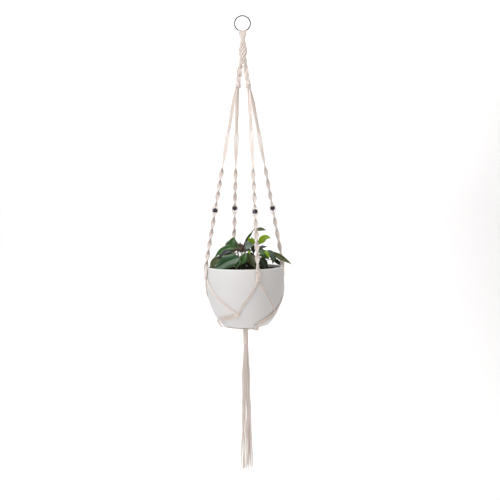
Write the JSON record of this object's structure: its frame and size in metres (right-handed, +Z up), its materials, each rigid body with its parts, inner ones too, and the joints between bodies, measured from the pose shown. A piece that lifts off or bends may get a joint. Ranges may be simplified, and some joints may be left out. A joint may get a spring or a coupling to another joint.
{
  "type": "hanging macrame planter",
  "caption": "Knotted cotton plant hanger on a steel ring, with beaded spiral arms, a net holding a round white pot with a leafy plant, and a long tassel.",
  "frame": {"origin": "hook seat: where a hook bears on the inside of the ring, on its top wire", "axes": "+Z up along the hanging line, +X to the right and -Y to the front, with the ring in the XZ plane"},
  "size_m": [0.2402, 0.2228, 1.249],
  "materials": {
    "steel_ring": "polished nickel-plated steel wire",
    "cotton_cord": "three-ply twisted natural cotton, matt",
    "bead_gloss": "glossy dark bead with a violet tint",
    "pot_white": "matt off-white",
    "soil": "dark potting mix",
    "stem": "green-brown plant stem",
    "leaf_dark": "dark green leaf with a soft sheen",
    "leaf_bright": "young yellow-green leaf",
    "bud": "dark red bud stalk"
  },
  "bodies": {
    "ring": {"ring": "steel_ring"},
    "loops": {"ring_loops": "cotton_cord", "loop_neck": "cotton_cord"},
    "hanger": {"top_sinnet": "cotton_cord", "braid_left": "cotton_cord", "braid_right": "cotton_cord", "braid_knot_left": "cotton_cord", "braid_knot_right": "cotton_cord", "upper_cords_1": "cotton_cord", "upper_cords_2": "cotton_cord", "upper_cords_3": "cotton_cord", "upper_cords_4": "cotton_cord", "square_knots_1": "cotton_cord", "square_knots_2": "cotton_cord", "square_knots_3": "cotton_cord", "square_knots_4": "cotton_cord", "middle_cords_1": "cotton_cord", "middle_cords_2": "cotton_cord", "middle_cords_3": "cotton_cord", "middle_cords_4": "cotton_cord", "upper_spiral_1": "cotton_cord", "upper_spiral_2": "cotton_cord", "upper_spiral_3": "cotton_cord", "upper_spiral_4": "cotton_cord", "bead_cords_1": "cotton_cord", "bead_cords_2": "cotton_cord", "bead_cords_3": "cotton_cord", "bead_cords_4": "cotton_cord", "lower_spiral_1": "cotton_cord", "lower_spiral_2": "cotton_cord", "lower_spiral_3": "cotton_cord", "lower_spiral_4": "cotton_cord", "rim_cords_1": "cotton_cord", "rim_cords_2": "cotton_cord", "rim_cords_3": "cotton_cord", "rim_cords_4": "cotton_cord", "split_knot_1": "cotton_cord", "split_knot_2": "cotton_cord", "split_knot_3": "cotton_cord", "split_knot_4": "cotton_cord", "net_cords": "cotton_cord", "side_knots": "cotton_cord", "lower_net_cords": "cotton_cord", "base_knots": "cotton_cord", "base_cords": "cotton_cord"},
    "gathering": {"gathering_wrap": "cotton_cord"},
    "tassel": {"tassel_strands": "cotton_cord"},
    "pot": {"pot": "pot_white", "soil": "soil", "stems": "stem", "leaves_dark": "leaf_dark", "leaves_bright": "leaf_bright", "buds": "bud"},
    "bead_1": {"bead_1": "bead_gloss"},
    "bead_2": {"bead_2": "bead_gloss"},
    "bead_3": {"bead_3": "bead_gloss"},
    "bead_4": {"bead_4": "bead_gloss"}
  },
  "joints": [
    {"name": "hanger_tilt", "type": "hinge", "parent": "ring", "child": "loops", "pos_m": [0, 0, -0.042], "axis": [1, 0, 0], "range_deg": [-20, 20]},
    {"name": "neck_sway", "type": "hinge", "parent": "loops", "child": "hanger", "pos_m": [0, 0, -0.064], "axis": [0, 1, 0], "range_deg": [-15, 15]},
    {"name": "pot_turn", "type": "hinge", "parent": "hanger", "child": "pot", "pos_m": [0, 0, -0.8545], "axis": [0, 0, 1], "range_deg": [-40, 10]},
    {"name": "gather_sway", "type": "hinge", "parent": "hanger", "child": "gathering", "pos_m": [0, 0, -0.868], "axis": [1, 0, 0], "range_deg": [-20, 20]},
    {"name": "tassel_sway", "type": "hinge", "parent": "gathering", "child": "tassel", "pos_m": [0, 0, -0.901], "axis": [0, 1, 0], "range_deg": [-25, 25]},
    {"name": "bead_1_spin", "type": "hinge", "parent": "hanger", "child": "bead_1", "pos_m": [-0.07978, -0.02454, -0.54069], "axis": [-0.1725, -0.065, -0.9829], "continuous": true},
    {"name": "bead_2_spin", "type": "hinge", "parent": "hanger", "child": "bead_2", "pos_m": [-0.02857, 0.07426, -0.53451], "axis": [-0.0373, 0.1993, -0.9792], "continuous": true},
    {"name": "bead_3_spin", "type": "hinge", "parent": "hanger", "child": "bead_3", "pos_m": [0.02898, -0.07645, -0.54528], "axis": [0.0373, -0.1993, -0.9792], "continuous": true},
    {"name": "bead_4_spin", "type": "hinge", "parent": "hanger", "child": "bead_4", "pos_m": [0.07892, 0.02421, -0.53577], "axis": [0.1725, 0.065, -0.9829], "continuous": true}
  ]
}
